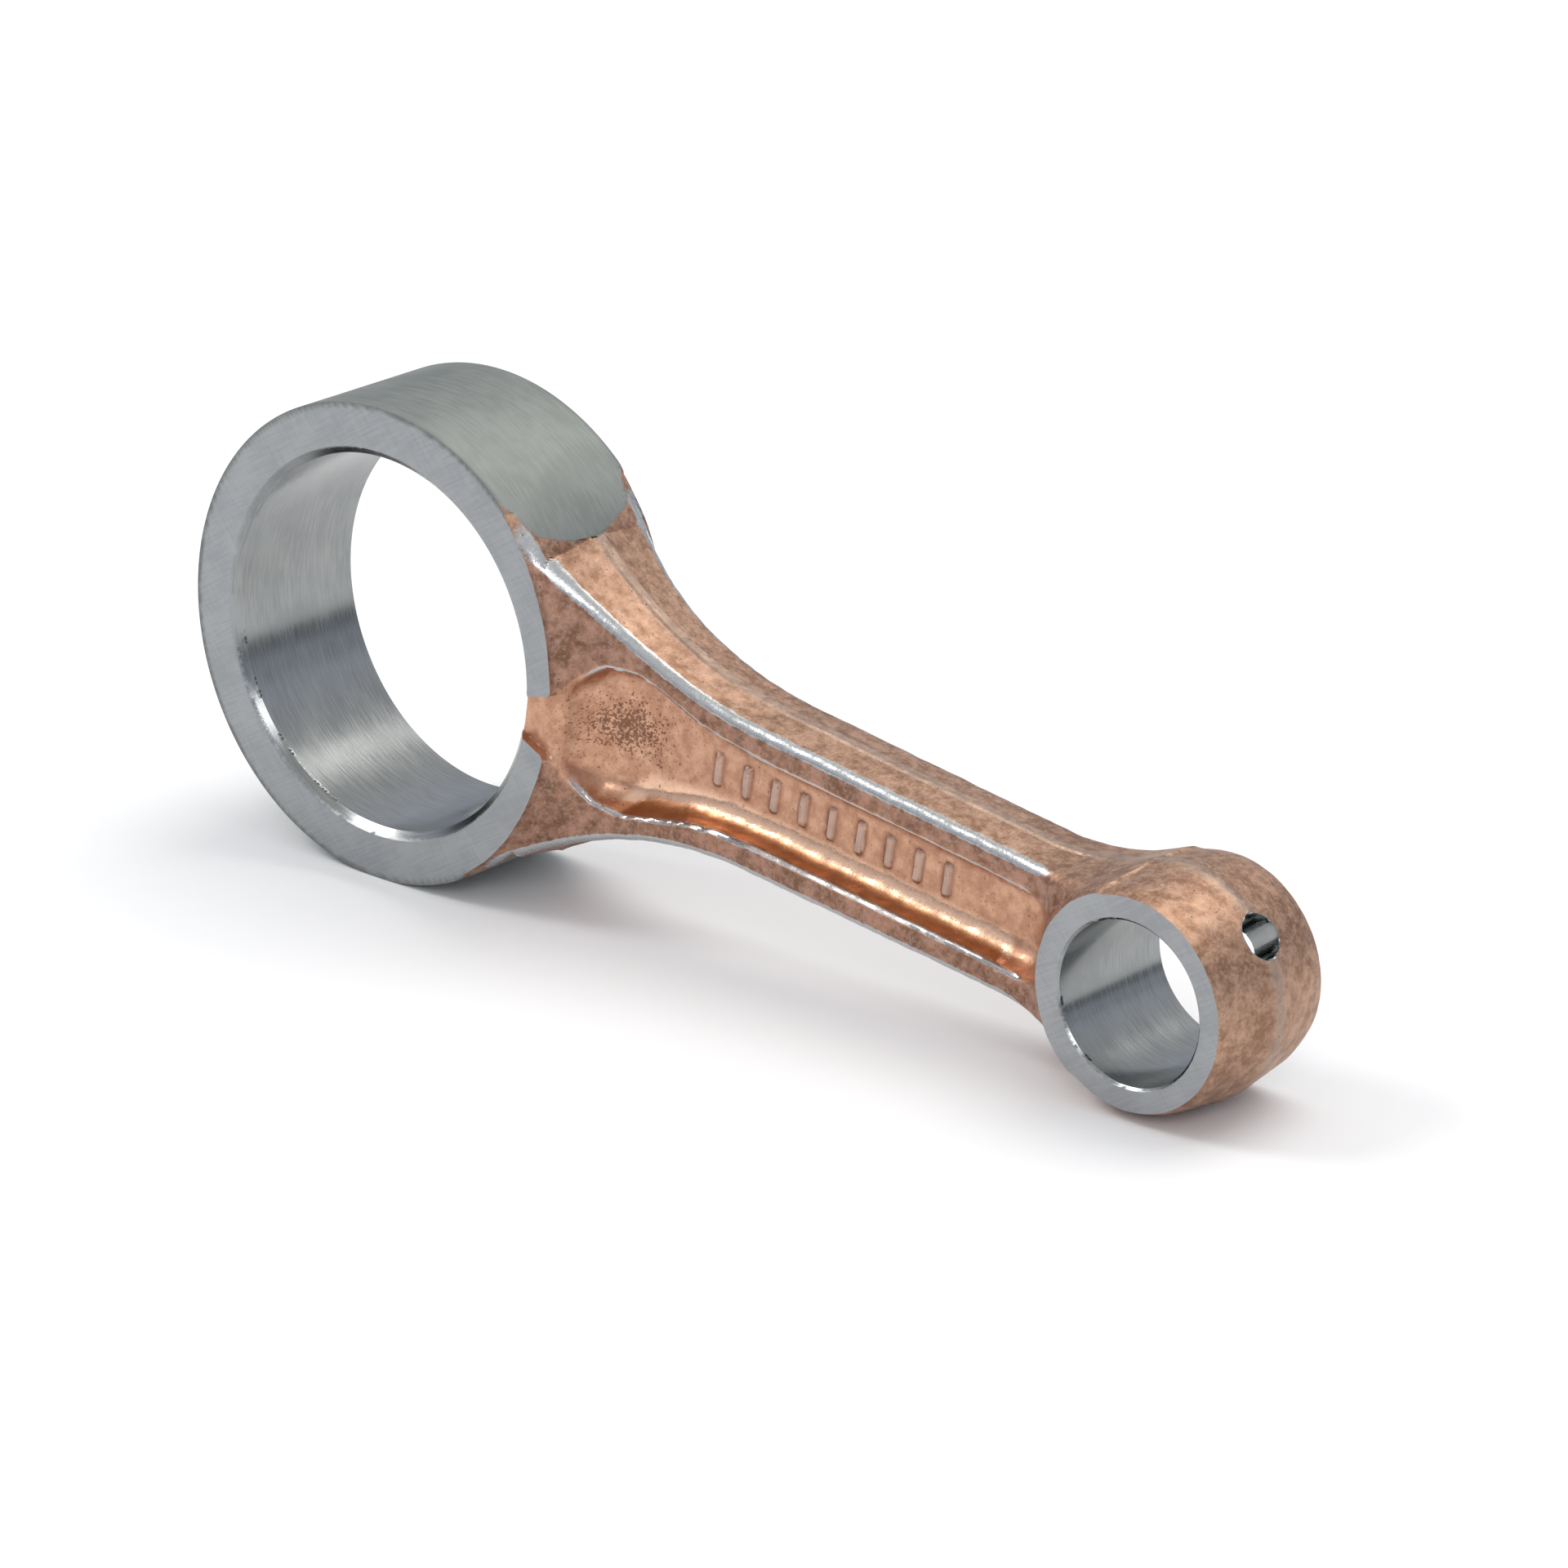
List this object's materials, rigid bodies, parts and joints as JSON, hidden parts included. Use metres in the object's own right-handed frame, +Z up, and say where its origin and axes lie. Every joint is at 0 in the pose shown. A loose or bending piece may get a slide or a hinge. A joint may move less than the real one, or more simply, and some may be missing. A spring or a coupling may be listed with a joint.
{
  "type": "connecting rod",
  "caption": "One-piece forged connecting rod with a ground big end, an I-section copper-plated shank and a drilled small end.",
  "frame": {"origin": "centre of the big-end bore, midway between its two side faces", "axes": "+Z is up with the rod lying on its big end and small end, +Y runs along both bores, +X points from the big end towards the small end"},
  "size_m": [0.1445, 0.0196, 0.0548],
  "materials": {
    "ground_steel": "ground and honed, bare",
    "copper_plate": "matt copper electroplate over a shot-blasted forged skin, rubbed through to steel on the edges"
  },
  "bodies": {
    "root": {"rod_forging": "ground_steel", "copper_plating": "copper_plate"}
  },
  "joints": []
}
